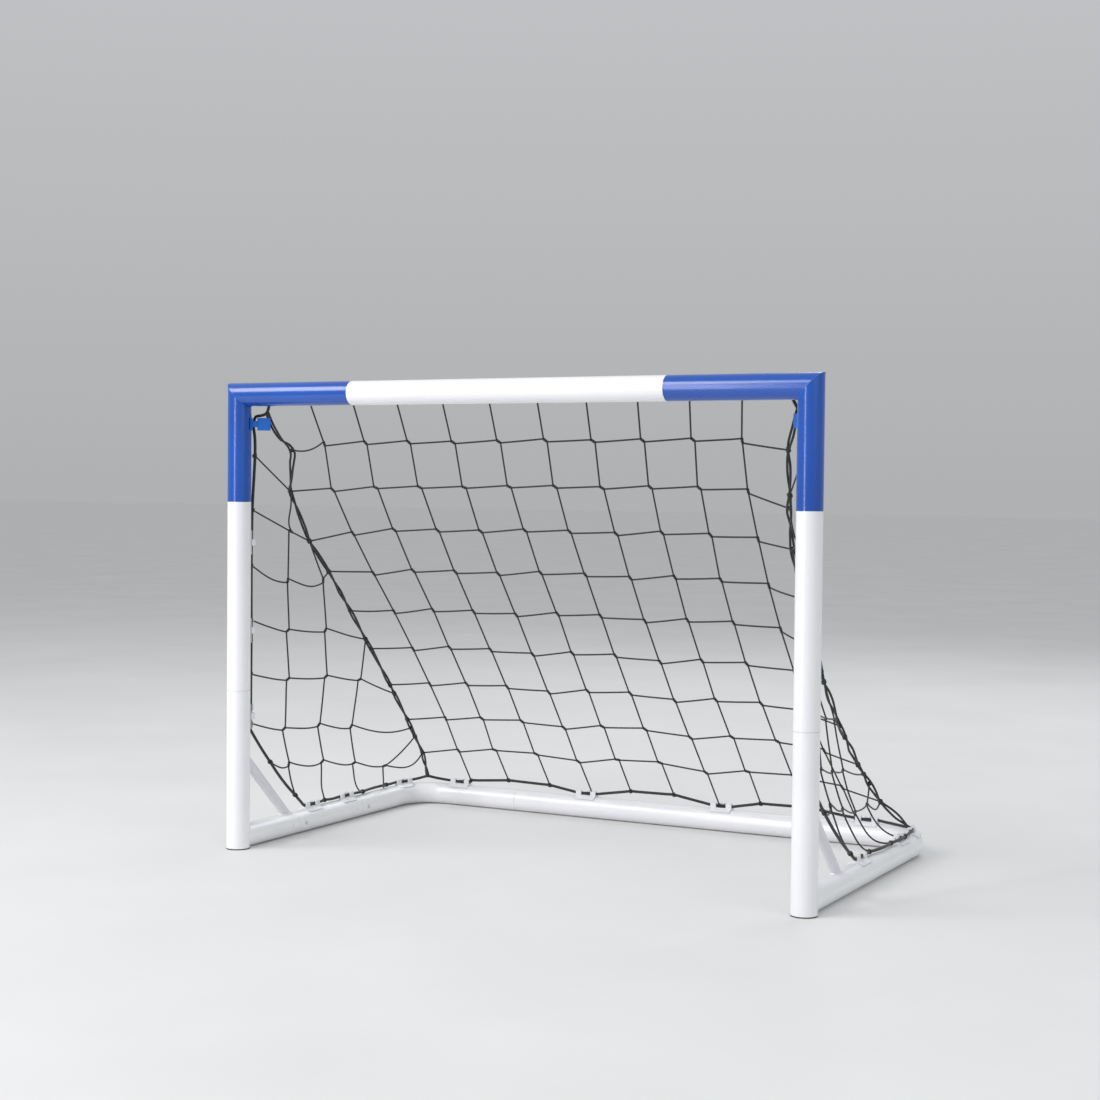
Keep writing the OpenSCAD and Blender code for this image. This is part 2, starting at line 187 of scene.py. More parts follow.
def smooth_path(points, step):
    """A centripetal Catmull-Rom curve through the points, sampled every step metres."""
    p = np.asarray(points, dtype=float)
    p = np.vstack([2 * p[0] - p[1], p, 2 * p[-1] - p[-2]])
    out = []
    for i in range(1, len(p) - 2):
        p0, p1, p2, p3 = p[i - 1], p[i], p[i + 1], p[i + 2]
        d = [max(np.linalg.norm(b - a), 1e-6) ** 0.5 for a, b in ((p0, p1), (p1, p2), (p2, p3))]
        m1 = (p1 - p0) / d[0] - (p2 - p0) / (d[0] + d[1]) + (p2 - p1) / d[1]
        m2 = (p2 - p1) / d[1] - (p3 - p1) / (d[1] + d[2]) + (p3 - p2) / d[2]
        m1, m2 = m1 * d[1], m2 * d[1]
        n = max(2, int(np.linalg.norm(p2 - p1) / step))
        t = (np.arange(n) / n)[:, None]
        out.append(
            (2 * t**3 - 3 * t**2 + 1) * p1 + (t**3 - 2 * t**2 + t) * m1
            + (-2 * t**3 + 3 * t**2) * p2 + (t**3 - t**2) * m2
        )
    out.append(p[-2][None])
    return np.vstack(out)


def done(ob, slot, *nodes):
    """Fixes a piece to the goal, in place of CAD nodes if any are given. The slot is not used."""
    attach(ob, ROOT)
    if nodes:
        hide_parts(*nodes)
    return ob


# ---- Materials -------------------------------------------------------------------------


class Shader:
    """A material with a Principled shader, and short ways to wire nodes to it."""

    def __init__(self, name, color, rough, **sockets):
        self.mat = bpy.data.materials.new(name)
        self.mat.use_nodes = True
        self.tree = self.mat.node_tree
        self.bsdf = self.tree.nodes["Principled BSDF"]
        self.set(self.bsdf, "Base Color", (*color, 1.0))
        self.set(self.bsdf, "Roughness", rough)
        for key, value in sockets.items():
            self.set(self.bsdf, key.replace("_", " "), value)

    @staticmethod
    def set(node, socket, value):
        node.inputs[socket].default_value = value

    def node(self, kind, **settings):
        n = self.tree.nodes.new(kind)
        for key, value in settings.items():
            if key in n.inputs:
                n.inputs[key].default_value = value
            else:
                setattr(n, key, value)
        return n

    def link(self, a, out, b, inp):
        self.tree.links.new(a.outputs[out], b.inputs[inp])

    def noise(self, scale, detail, rough):
        n = self.node("ShaderNodeTexNoise", Scale=scale, Detail=detail, Roughness=rough)
        self.link(self.node("ShaderNodeTexCoord"), "Object", n, "Vector")
        return n

    def vary_rough(self, noise, low, high):
        m = self.node("ShaderNodeMapRange")
        self.set(m, "To Min", low)
        self.set(m, "To Max", high)
        self.link(noise, "Fac", m, "Value")
        self.link(m, "Result", self.bsdf, "Roughness")

    def vary_color(self, source, dark, light, start, end, out="Fac"):
        """Colours the surface from dark to light as a node's output goes from start to end."""
        ramp = self.node("ShaderNodeValToRGB")
        low, high = ramp.color_ramp.elements
        low.color, low.position = (*dark, 1.0), start
        high.color, high.position = (*light, 1.0), end
        self.link(source, out, ramp, "Fac")
        self.link(ramp, "Color", self.bsdf, "Base Color")

    def soft_edge(self, radius):
        return self.node("ShaderNodeBevel", samples=4, Radius=radius)

    def relief(self, source, out, distance, strength, edge=None):
        """Raises the surface by a node's output, over softened edges if some are given."""
        b = self.node("ShaderNodeBump", Distance=distance, Strength=strength)
        self.link(source, out, b, "Height")
        if edge is not None:
            self.link(edge, "Normal", b, "Normal")
        self.link(b, "Normal", self.bsdf, "Normal")


def paint(name, light, dark, rough, coat=0.35):
    """Powder coat: orange peel, a faint mottle and an uneven gloss."""
    s = Shader(name, light, rough)
    s.set(s.bsdf, "Coat Weight", coat)
    s.set(s.bsdf, "Coat Roughness", 0.2)
    s.set(s.bsdf, "Specular IOR Level", 0.55)
    s.vary_color(s.noise(7.0, 1.5, 0.4), dark, light, 0.25, 0.62)
    s.vary_rough(s.noise(18.0, 3.0, 0.5), rough * 0.85, rough * 1.2)
    s.relief(s.noise(520.0, 2.0, 0.4), "Fac", 0.00003, 0.35)
    return s.mat


def plastic(name, light, dark, rough):
    """Moulded plastic: fine spark-eroded grain and softened edges."""
    s = Shader(name, light, rough)
    s.set(s.bsdf, "Specular IOR Level", 0.5)
    s.vary_color(s.noise(60.0, 3.0, 0.5), dark, light, 0.3, 0.6)
    s.vary_rough(s.noise(150.0, 4.0, 0.6), rough * 0.85, rough * 1.2)
    s.relief(s.noise(1600.0, 2.0, 0.5), "Fac", 0.00006, 0.5, s.soft_edge(0.0011))
    return s.mat


def metal(name, light, dark, rough):
    """Plated steel: a spangled mottle, fine grain and softened edges."""
    s = Shader(name, light, rough, Metallic=1.0)
    s.vary_color(s.noise(140.0, 3.0, 0.6), dark, light, 0.3, 0.7)
    s.vary_rough(s.noise(300.0, 3.0, 0.6), rough * 0.7, rough * 1.4)
    s.relief(s.noise(900.0, 2.0, 0.5), "Fac", 0.00004, 0.6, s.soft_edge(0.0003))
    return s.mat


def strand(s, turns_u, turns_v):
    """A wave that runs diagonally round a cord, from the cord's own UV."""
    turns = s.node("ShaderNodeMapping", Scale=(turns_u, turns_v, 1.0))
    s.link(s.node("ShaderNodeTexCoord"), "UV", turns, "Vector")
    split = s.node("ShaderNodeSeparateXYZ")
    s.link(turns, "Vector", split, "Vector")
    both = s.node("ShaderNodeMath", operation="ADD")
    s.link(split, "X", both, 0)
    s.link(split, "Y", both, 1)
    angle = s.node("ShaderNodeMath", operation="MULTIPLY")
    s.set(angle, 1, 2 * math.pi)
    s.link(both, 0, angle, 0)
    wave = s.node("ShaderNodeMath", operation="SINE")
    s.link(angle, 0, wave, 0)
    return wave


def rope_material(name, light, dark, turns_u, turns_v, depth, rough):
    """Laid cord has strands one way round, and a rope of more than one turn is braided."""
    s = Shader(name, light, rough)
    s.set(s.bsdf, "Sheen Weight", 0.25)
    s.set(s.bsdf, "Sheen Roughness", 0.4)
    s.set(s.bsdf, "Specular IOR Level", 0.45)
    top = strand(s, turns_u, turns_v)
    if turns_v > 1.0:
        over = s.node("ShaderNodeMath", operation="MAXIMUM")
        s.link(top, 0, over, 0)
        s.link(strand(s, turns_u, -turns_v), 0, over, 1)
        top = over
    unit = s.node("ShaderNodeMapRange")
    s.set(unit, "From Min", -1.0)
    s.link(top, 0, unit, "Value")
    fuzzy = s.node("ShaderNodeMath", operation="MULTIPLY_ADD")
    s.link(s.noise(700.0, 4.0, 0.7), "Fac", fuzzy, 0)
    s.set(fuzzy, 1, 0.35)
    s.link(unit, "Result", fuzzy, 2)
    # The grooves between strands are painted darker than the crests, as painted shade. The noise
    # adds a random fibre tone.
    s.vary_color(fuzzy, dark, light, 0.25, 1.0, 0)
    s.vary_rough(s.noise(90.0, 3.0, 0.5), rough * 0.85, min(1.0, rough * 1.2))
    s.relief(fuzzy, 0, depth, 0.9)
    return s.mat


MATS = {
    "white_paint": paint("white_paint", (0.875, 0.877, 0.88), (0.835, 0.84, 0.855), 0.25),
    "brace_paint": paint("brace_paint", (0.74, 0.74, 0.77), (0.68, 0.68, 0.72), 0.34, 0.15),
    "blue_paint": paint("blue_paint", (0.001, 0.076, 0.42), (0.001, 0.064, 0.365), 0.22, 0.45),
    # The corner core is a lighter blue than the tubes, as a painted highlight, so its lip at the
    # mitres reads as a bright edge.
    "blue_core": plastic("blue_core", (0.02, 0.17, 0.60), (0.015, 0.15, 0.54), 0.3),
    "blue_plastic": plastic("blue_plastic", (0.004, 0.155, 0.64), (0.003, 0.13, 0.56), 0.3),
    "white_plastic": plastic("white_plastic", (0.82, 0.83, 0.84), (0.76, 0.77, 0.79), 0.38),
    "cap_plastic": plastic("cap_plastic", (0.03, 0.03, 0.03), (0.02, 0.02, 0.02), 0.55),
    "sleeve_steel": metal("sleeve_steel", (0.55, 0.56, 0.58), (0.45, 0.46, 0.48), 0.4),
    "rivet_metal": paint("rivet_metal", (0.82, 0.83, 0.86), (0.76, 0.78, 0.8), 0.3),
    "spring_steel": metal("spring_steel", (0.5, 0.51, 0.53), (0.4, 0.41, 0.43), 0.32),
    "button_steel": metal("button_steel", (0.68, 0.69, 0.71), (0.58, 0.59, 0.61), 0.24),
    # For the cord and the rope, the dark tone is painted shade in the strands' grooves and the
    # light tone is their crests.
    "net_cord": rope_material(
        "net_cord", (0.028, 0.034, 0.03), (0.004, 0.005, 0.005), 190.0, 1.0, 0.0004, 0.55),
    "net_rope": rope_material(
        "net_rope", (0.026, 0.03, 0.029), (0.003, 0.004, 0.004), 150.0, 3.0, 0.0006, 0.6),
}

for part in frame["record"]["subparts"]:
    ob = NODES[part["node"]]
    mat = MATS[part["material_slot"]]
    if not ob.material_slots:
        ob.data.materials.append(mat)
    for ms in ob.material_slots:
        ms.material = mat

# ---- Net: sizes ------------------------------------------------------------------------

# The slope is the straight line from the rope on the crossbar to the rope on the rear tube.
# A distance down the slope is measured along it from the crossbar.
SLOPE_TOP = np.array([0.0, POST_Y + ROPE_U, BAR_Z])
SLOPE_END = np.array([0.0, REAR_Y, ROPE_Z])
SLOPE_LEN = float(np.linalg.norm(SLOPE_END - SLOPE_TOP))
SLOPE_DIR = (SLOPE_END - SLOPE_TOP) / SLOPE_LEN
INWARD = np.array([0.0, SLOPE_DIR[2], -SLOPE_DIR[1]])

TURN = 6.28                   # once round, in radians
BEND_CLIP = math.radians(12.0)    # the clip on a bend, from where the bend starts


def bend_point(side, w):
    """A point on the line through the clip on the bend, w before or after the clip's middle."""
    return np.array([
        side * (BEND_X + BEND_R * math.cos(BEND_CLIP) - w * math.sin(BEND_CLIP)),
        BEND_Y + BEND_R * math.sin(BEND_CLIP) + w * math.cos(BEND_CLIP), ROPE_Z])


# The middles of the clips that hold the border rope, on the ground frame.
FIRST_CLIP = {-1: -0.085, 1: -0.051}      # Y, the front one on each ground tube
SIDE_CLIPS = {-1: (0.040,), 1: ()}        # Y, the others there
REAR_CLIPS = (0.465, 0.155)               # X, on both sides, and on the crossbar too
POST_CLIP_LOW = 0.227                     # Z, where it leaves the lowest clip on a post

# The border rope.
ROPE_PIECE = 0.016
CLIP_GAP = 0.06               # held points nearer than this are in one clip
ROPE_SLACK, REAR_SLACK = 1.003, 1.02
REAR_HALF = 0.47              # the slacker rope lies within this of the goal's middle
ROPE_RISE = 0.003             # where the side columns' ties start out, above its clips
NEAR_GROUND = 0.012           # rope no further above its clips than this is kept from sinking
POST_Z, POST_ANGLE = (0.60, 0.70, 0.76), (75.0, 58.0, 45.0)     # Z, and degrees round a post
HOOK_WRAP = (                 # inward from the post, back from it, and above the hook's middle
    (0.0137, 0.0259, -0.002), (0.0164, 0.0289, 0.0145), (0.0269, 0.0311, 0.0165),
    (0.0365, 0.0360, 0.021), (0.0500, 0.0310, 0.045),
)

# The seams. A kink is the number of pieces down to a held point, and that point.
SEAM_TOP = (0.541, POST_Y + 0.0385, HOOK_Z + 0.022)
SEAM_KINKS = {-1: ((3, (-0.5075, -0.2541, 0.7686)), (3, (-0.5406, -0.2127, 0.6882))), 1: ()}
SEAM_ENDS = {-1: (-0.537, 0.305, ROPE_Z + 0.009), 1: tuple(bend_point(1, -0.004))}
SEAM_SAG = {-1: 0.034, 1: 0.088}          # starts out inside the slope, half-way down
SEAM_LEAN = {-1: 0.010, 1: 0.062}         # toward the middle of the goal, half-way down
SEAM_STEPS = 36
SEAM_START, SEAM_LEN = 0.034, 0.994       # how far down the slope it starts, and its length
KINK_SLACK = 1.015
BOW_SLACK = 2.667             # a bow is longer than its chord by this times (bow / chord) squared
SEAM_SPREAD = {               # distances down it, and how far its ropes part there, in radii
    -1: ((0.0, 0.02, 0.10, 0.13, 1.1), (0.2, 1.1, 1.1, 0.15, 0.3)),
    1: ((0.0, 0.05, 0.5, 1.1), (0.3, 0.5, 0.9, 0.9)),
}
SEAM_TIE_R = SEAM_R * 1.35    # round both ropes

# The rear panel. Its rows are numbered down from 1 and its columns from 0 at the left.
COLUMNS, ROWS = 10, 9
PITCH = 0.0985                # between columns on the crossbar
FOOT_PITCH, FOOT_SHIFT = 0.0972, 0.004    # the same on the rear tube, and how far right
CELL_DOWN, CELL_ACROSS = 0.1016, 0.0953
CLIP_CELL = 0.0016            # added to the cells of a column that ends in a clip
LAP = 0.0085                  # two cords are wound together over this length
LAP_STEP = 0.003              # half a lap starts out this far each way
LAP_SHARE, END_SHARE, ROW_SHARE = 0.84, 0.42, 0.6     # of a lap, taken out of a cell
SAG = 0.048                   # how far inside the slope the panel starts out
TOP_TIE = 0.003               # down the slope
ROW_MARGIN = 0.012            # left out of the slope where the rows are spaced
KNOT_DROP, END_DROP = 0.010, 0.014        # of a row, at its knots and at its ends
ROW_RISE = {                  # how far a row's end on the seam is raised
    -1: (0.0, 0.024, 0.020, 0.024, 0.020, 0.0, 0.0, -0.012, 0.0),
    1: (0.0,) * 9,
}

# The side panels. Their rows are numbered down and their columns back, both from 0.
POST_TIES = (0.757, 0.652, 0.546, 0.440, 0.335, 0.240)            # Z of the rows on a post
SEAM_TIES = (0.205, 0.300, 0.405, 0.590, 0.750, 0.862, 0.955)     # down the slope
SIDE_ROW_Z = (0.0, 0.602, 0.505, 0.412, 0.317, 0.232, 0.155)      # where they start out
ROW_LIFT = {(1, 2): 0.026, (1, 3): 0.018, (2, 4): -0.024}         # (column, row)
ROW_COLUMNS = (0, 1, 2, 2, 3, 3, 4)       # how many columns cross each row
COLUMN_TOPS = (0.205, 0.300, 0.598, 0.885)                        # down the slope
COLUMN_ENDS = {-1: (None, -0.030, 0.104, 0.208), 1: (None, 0.008, 0.113, 0.190)}     # Y
SLANT_TIES = {-1: (-0.228, -0.140), 1: (-0.215, -0.094)}          # Y, on the slanted rope
SIDE_ACROSS, SIDE_DOWN = 0.0985, 0.0928
LAST_CELL = (0.074, 0.080, 0.084, 0.0965)     # the lowest cell of each column
SIDE_PITCH = 0.100            # between columns, where they start out
DRIFT, DRIFT_ROW = 0.014, 4   # back, for each row below this one, in the first column
SIDE_IN, SIDE_LEAN = 0.006, 0.040         # inside the post's middle, and more at the seam
END_SLACK, TOP_SLACK, FOOT_SLACK = 1.05, 1.03, 0.99

# How uneven the cords are: their lengths vary, and curls and waves are kinks set in them.
REAR_VARY, REAR_ROW_VARY, SIDE_ROW_VARY, SIDE_COLUMN_VARY = 0.0012, 0.0015, 0.003, 0.002
REAR_COLUMN_CURL, CURL, SIDE_ROW_CURL = 0.0008, 0.0014, 0.0016
REAR_WAVE, SIDE_WAVE = -0.0014, 0.0026

# The cords first fall, then the loosest are taken up, and then all come to rest. A stage is a
# number of steps and the pull in each.
FALL, REST = ((300, 1.2e-5), (300, 5e-6)), ((300, 5e-6), (600, 2e-6))
REAR_TAKE_UP, SIDE_TAKE_UP = 1.03, 1.035

# ---- Net: solver -----------------------------------------------------------------------


def slope_point(x, s, sink=0.0):
    """The point s down the slope, and sink inside it."""
    p = SLOPE_TOP + SLOPE_DIR * s + INWARD * sink
    return np.array([x, p[1], p[2]])


class Rig:
    """Cords as chains of points at set spacings, some held, which settle under gravity."""

    KEEP = 0.95               # the share of its speed that a point keeps
    STIFF = 420.0             # how hard a cord goes back to its own shape, against the pull
    OVER = 1.6                # how far each correction of a link goes
    SINK = 0.001              # how far the rope may sink below its clips

    def __init__(self, seed):
        self.rng = random.Random(seed)
        self.at, self.held, self.links, self.bends = [], [], [], []
        self.resting = []

    def point(self, at, held=False):
        self.at.append(np.array(at, dtype=float))
        self.held.append(held)
        return len(self.at) - 1

    def gap(self, i, j):
        return float(np.linalg.norm(self.at[i] - self.at[j]))

    def vary(self, size):
        return self.rng.uniform(-1, 1) * size

    def cord(self, i, j, length, pieces, curl=0.0, wave=0.0):
        """Joins two points by a cord; curl is a random kink set in it, wave an upright S."""
        a, b = self.at[i], self.at[j]
        chain = [i] + [self.point(a + (b - a) * k / pieces) for k in range(1, pieces)] + [j]
        phase = [self.rng.uniform(0, TURN) for _ in range(3)]
        for k in range(pieces):
            self.links.append((chain[k], chain[k + 1], length / pieces))
        for k in range(1, pieces):
            kink = [curl * (math.sin(TURN * k / pieces + ph) + math.sin(ph) / (pieces - 1))
                    for ph in phase]
            kink[2] += wave * math.sin(TURN * k / pieces)
            self.bends.append((chain[k - 1], chain[k], chain[k + 1], kink))
        return chain

    def take_up(self, spans, slack):
        """Shortens the cords that hang looser than the slack allowed."""
        limit = {}
        for chain in spans:
            gap = self.gap(chain[0], chain[-1])
            for pair in zip(chain[:-1], chain[1:]):
                limit[pair] = gap * slack / (len(chain) - 1)
        self.links = [(i, j, min(r, limit.get((i, j), r))) for i, j, r in self.links]

    def groups(self):
        """Sorts the links into sets in which no point appears twice."""
        used, sets = {}, []
        for link in self.links:
            n = 0
            while n in used.get(link[0], ()) or n in used.get(link[1], ()):
                n += 1
            for end in link[:2]:
                used.setdefault(end, set()).add(n)
            while len(sets) <= n:
                sets.append([])
            sets[n].append(link)
        return sets

    def settle(self, stages, passes=10):
        """Lets the points fall for each stage's steps, under its pull, while links keep length."""
        x = np.array(self.at)
        free = np.where(np.array(self.held), 0.0, 1.0)
        sets = []
        for group in self.groups():
            i, j, rest = (np.array([link[n] for link in group]) for n in range(3))
            both = np.maximum(free[i] + free[j], 1.0)
            keep = (free[i] + free[j]) > 0
            sets.append((i[keep], j[keep], rest[keep],
                         (free[i] / both)[keep][:, None], (free[j] / both)[keep][:, None]))
        before_at, mid_at, after_at = (np.array([k[n] for k in self.bends]) for n in range(3))
        kink = np.array([k[3] for k in self.bends])
        resting = np.array(self.resting)
        before = x.copy()
        for steps, pull in stages:
            for _ in range(steps):
                move = (x - before) * self.KEEP
                before = x.copy()
                x += move
                x[:, 2] -= pull * free
                push = self.STIFF * pull * (0.5 * (x[before_at] + x[after_at]) + kink - x[mid_at])
                np.add.at(x, mid_at, push * free[mid_at][:, None])
                np.subtract.at(x, before_at, 0.5 * push * free[before_at][:, None])
                np.subtract.at(x, after_at, 0.5 * push * free[after_at][:, None])
                for _ in range(passes):
                    for i, j, rest, share_i, share_j in sets:
                        d = x[j] - x[i]
                        dist = np.sqrt(np.einsum("ij,ij->i", d, d)) + 1e-12
                        d *= (self.OVER * (dist - rest) / dist)[:, None]
                        x[i] += d * share_i
                        x[j] -= d * share_j
                x[resting, 2] = np.maximum(x[resting, 2], ROPE_Z - self.SINK)
        self.at = list(x)


# ---- Net: layout -----------------------------------------------------------------------


def rope_on_post(side, z):
    """Where the border rope runs on a post: beside it at the top, behind it lower down."""
    a = math.radians(float(np.interp(z, POST_Z, POST_ANGLE)))
    return np.array([side * (POST_X - ROPE_U * math.cos(a)), POST_Y + ROPE_U * math.sin(a), z])


def gaps(chain):
    """Each gap between neighbouring crossings: its number, and its two end points."""
    return [(n, chain[n][1], chain[n + 1][0]) for n in range(len(chain) - 1)]


class GoalNet:
    """Hangs the net: the border rope along the ground, the seams, and the three panels."""

    def __init__(self):
        self.rig = Rig(7)
        self.spans, self.laps, self.ties = ({"rear": [], -1: [], 1: []} for _ in range(3))
        self.rope = []
        self.rope_keys = {}
        self.seams = {}
        self.build_rope()
        for side in (-1, 1):
            self.build_seam(side)
        self.build_rear()
        for side in (-1, 1):
            self.build_side(side)
        self.rig.settle(FALL)
        self.rig.take_up(self.spans["rear"], REAR_TAKE_UP)
        for side in (-1, 1):
            self.rig.take_up(self.spans[side], SIDE_TAKE_UP)
        self.rig.settle(REST)

    def side_route(self, side):
        """The rope's stops from a post to the corner behind it, as (key, place, held)."""
        start = rope_on_post(side, POST_CLIP_LOW)
        first = np.array([side * POST_X, FIRST_CLIP[side] - CLIP_HALF, ROPE_Z])
        route = [(None, start, True)]
        for n, y in enumerate(SLANT_TIES[side]):
            t = (y - start[1]) / (first[1] - start[1])
            route.append((("slant", side, n), start + (first - start) * t, False))
        stops = [(None, first, True), (None, first + Y_AXIS * 2 * CLIP_HALF, True)]
        stops += [(None, np.array([side * POST_X, y + e * CLIP_HALF, ROPE_Z]), True)
                  for y in SIDE_CLIPS[side] for e in (-1, 1)]
        stops += [(("end", side, n), np.array([side * POST_X, y, ROPE_Z + ROPE_RISE]), False)
                  for n, y in enumerate(COLUMN_ENDS[side]) if y is not None]
        route += sorted(stops, key=lambda stop: stop[1][1])
        route += [(None, bend_point(side, w), True) for w in (-CLIP_HALF, CLIP_HALF)]
        # The left seam ends behind the clip on the bend, and the right one in it.
        place = len(route) if side < 0 else len(route) - 1
        route.insert(place, (("seam", side), np.array(SEAM_ENDS[side]), True))
        return route

    def rear_route(self, side):
        """The rope's stops along the rear tube, from a corner to the middle."""
        stops = [(None, np.array([side * (x + e * CLIP_HALF), REAR_Y, ROPE_Z]), True)
                 for x in REAR_CLIPS for e in (1, -1)]
        for i in range(COLUMNS):
            x = (i - (COLUMNS - 1) / 2) * FOOT_PITCH + FOOT_SHIFT
            if x * side > 0:
                held = any(abs(abs(x) - c) < CLIP_HALF for c in REAR_CLIPS)
                stops.append((("column", i), np.array([x, REAR_Y, ROPE_Z]), held))
        return sorted(stops, key=lambda stop: -abs(stop[1][0]))

    def build_rope(self):
        """The border rope, from one post down, round the back and up to the other post."""
        rig = self.rig
        left, right = (self.side_route(side) + self.rear_route(side) for side in (-1, 1))
        last = None
        for key, at, held in left + right[::-1]:
            here = rig.point(at, held)
            if key is not None:
                self.rope_keys[key] = here
            if last is None:
                self.rope.append(here)
            else:
                gap = rig.gap(here, last)
                slack = ROPE_SLACK
                if held and rig.held[last] and gap < CLIP_GAP:
                    slack = 1.0
                elif abs(at[0] + rig.at[last][0]) / 2 < REAR_HALF and at[1] > BEND_Y:
                    slack = REAR_SLACK
                pieces = max(1, int(round(gap / ROPE_PIECE)))
                self.rope += rig.cord(last, here, gap * slack, pieces)[1:]
            last = here
        rig.resting = [i for i in self.rope if rig.at[i][2] < ROPE_Z + NEAR_GROUND]

    def build_seam(self, side):
        rig = self.rig
        chain = [rig.point((side * SEAM_TOP[0], *SEAM_TOP[1:]), True)]
        end = self.rope_keys["seam", side]
        for pieces, at in SEAM_KINKS[side]:
            kink = rig.point(at, True)
            length = rig.gap(chain[-1], kink) * KINK_SLACK
            chain += rig.cord(chain[-1], kink, length, pieces)[1:]
        steps = SEAM_STEPS + 1 - len(chain)
        span = rig.gap(end, chain[-1])
        sag, lean = SEAM_SAG[side], SEAM_LEAN[side]
        slack = 1.0 + BOW_SLACK * (sag**2 + lean**2) / span**2
        free = rig.cord(chain[-1], end, span * slack, steps)
        for k, i in enumerate(free[1:-1], 1):
            t = k / steps
            rig.at[i] = rig.at[i] + (INWARD * sag - X_AXIS * side * lean) * 4 * t * (1 - t)
        self.seams[side] = chain + free[1:]

    def seam_at(self, side, s):
        """The point of a seam that is s down the slope."""
        chain = self.seams[side]
        k = int(round((s - SEAM_START) / SEAM_LEN * SEAM_STEPS))
        return chain[min(len(chain) - 2, max(1, k))]

    def junction(self, panel, at, lap):
        """Two points, a lap apart, where two cords of a panel cross."""
        rig = self.rig
        a, b = rig.point(at - lap), rig.point(at + lap)
        rig.links.append((a, b, LAP))
        self.laps[panel].append((a, b))
        return a, b

    def tie(self, panel, i, along, radius):
        """Ties a cord to a rope. The pair stands for a crossing in a row or a column."""
        self.ties[panel].append((i, along, radius))
        return i, i

    def span(self, panel, i, j, length, curl, pieces, wave=0.0):
        self.spans[panel].append(self.rig.cord(i, j, length, pieces, curl, wave))

    def build_rear(self):
        rig = self.rig
        grid = {}
        lap = X_AXIS * LAP_STEP + SLOPE_DIR * LAP_STEP
        step = (SLOPE_LEN - ROW_MARGIN) / (ROWS + 1)
        for i in range(COLUMNS):
            x = (i - (COLUMNS - 1) / 2) * PITCH
            top = rig.point(slope_point(x + rig.vary(REAR_VARY), TOP_TIE), True)
            grid[i, 0] = self.tie("rear", top, X_AXIS, ROPE_R)
            grid[i, ROWS + 1] = self.tie("rear", self.rope_keys["column", i], X_AXIS, ROPE_R)
            for j in range(1, ROWS + 1):
                s = KNOT_DROP + step * j
                bow = SAG * 4 * (j / (ROWS + 1)) * (1 - j / (ROWS + 1))
                low, high = (rig.at[self.seam_at(side, s)][0] for side in (-1, 1))
                across = low + (high - low) * (i + 1) / (COLUMNS + 1)
                at = slope_point(across if j > 1 else 0.5 * (across + x), s, bow)
                grid[i, j] = self.junction("rear", at, lap)
        for i in range(COLUMNS):
            cell = CELL_DOWN + (CLIP_CELL if rig.held[grid[i, ROWS + 1][0]] else 0.0)
            for j in range(ROWS + 1):
                length = cell - LAP * (LAP_SHARE if 0 < j < ROWS else END_SHARE)
                length += rig.vary(REAR_VARY)
                self.span("rear", grid[i, j][1], grid[i, j + 1][0], length, REAR_COLUMN_CURL, 3)
        for j in range(1, ROWS + 1):
            for side, column in ((-1, -1), (1, COLUMNS)):
                end = self.seam_at(side, END_DROP + step * j - ROW_RISE[side][j - 1])
                grid[column, j] = self.tie("rear", end, SLOPE_DIR, SEAM_TIE_R)
            for i in range(-1, COLUMNS):
                length = CELL_ACROSS - LAP * ROW_SHARE + rig.vary(REAR_ROW_VARY)
                self.span("rear", grid[i, j][1], grid[i + 1, j][0], length, CURL, 5, REAR_WAVE)

    def build_side(self, side):
        rig = self.rig
        rows = len(SEAM_TIES)
        lap = np.array([0.0, -LAP_STEP, -LAP_STEP])
        foot = self.rope_keys["slant", side, 1]
        slant = rig.at[foot] - rope_on_post(side, POST_CLIP_LOW)
        grid = {}
        for j in range(rows):
            seam_y = SLOPE_TOP[1] + SLOPE_DIR[1] * SEAM_TIES[j]
            for k in range(ROW_COLUMNS[j]):
                drift = DRIFT * max(0, j - DRIFT_ROW) if k == 0 else 0.0
                y = POST_Y + ROPE_U + SIDE_PITCH * (k + 1) + drift
                t = (y - POST_Y) / (seam_y - POST_Y)
                x = side * (POST_X - SIDE_IN - SIDE_LEAN * t)
                z = SIDE_ROW_Z[j] + ROW_LIFT.get((k, j), 0.0)
                grid[k, j] = self.junction(side, np.array([x, y, z]), lap)
        for j in range(rows):
            if j < len(POST_TIES):
                post = rig.point(rope_on_post(side, POST_TIES[j]), True)
                head = self.tie(side, post, Z_AXIS, ROPE_R)
            else:
                head = self.tie(side, self.rope_keys["slant", side, 0], slant, ROPE_R)
            tail = self.tie(side, self.seam_at(side, SEAM_TIES[j]), SLOPE_DIR, SEAM_TIE_R)
            chain = [head] + [grid[k, j][::-1] for k in range(ROW_COLUMNS[j])] + [tail]
            for n, i, e in gaps(chain):
                length = SIDE_ACROSS
                if j == 0:
                    length = rig.gap(i, e)
                elif n == len(chain) - 2:
                    length = rig.gap(i, e) * END_SLACK
                length += rig.vary(SIDE_ROW_VARY)
                self.span(side, i, e, length, SIDE_ROW_CURL, 6, SIDE_WAVE if j else 0.0)
        for k, top_s in enumerate(COLUMN_TOPS):
            top = self.tie(side, self.seam_at(side, top_s), SLOPE_DIR, SEAM_TIE_R)
            if k == 0:
                end = self.tie(side, foot, slant, ROPE_R)
            else:
                end = self.tie(side, self.rope_keys["end", side, k], Y_AXIS, ROPE_R)
            crossings = [grid[k, j] for j in range(rows) if (k, j) in grid]
            chain = [top] + crossings + [end]
            for n, i, e in gaps(chain):
                length = LAST_CELL[k] if n == len(crossings) - 1 else SIDE_DOWN
                if n in (0, len(crossings)):
                    length = rig.gap(i, e) * (FOOT_SLACK if k > 0 and n > 0 else TOP_SLACK)
                length += rig.vary(SIDE_COLUMN_VARY)
                self.span(side, i, e, length, CURL, 6)


# ---- Net: drawing ----------------------------------------------------------------------


CORD_STEP = 0.005             # between rings of a drawn cord


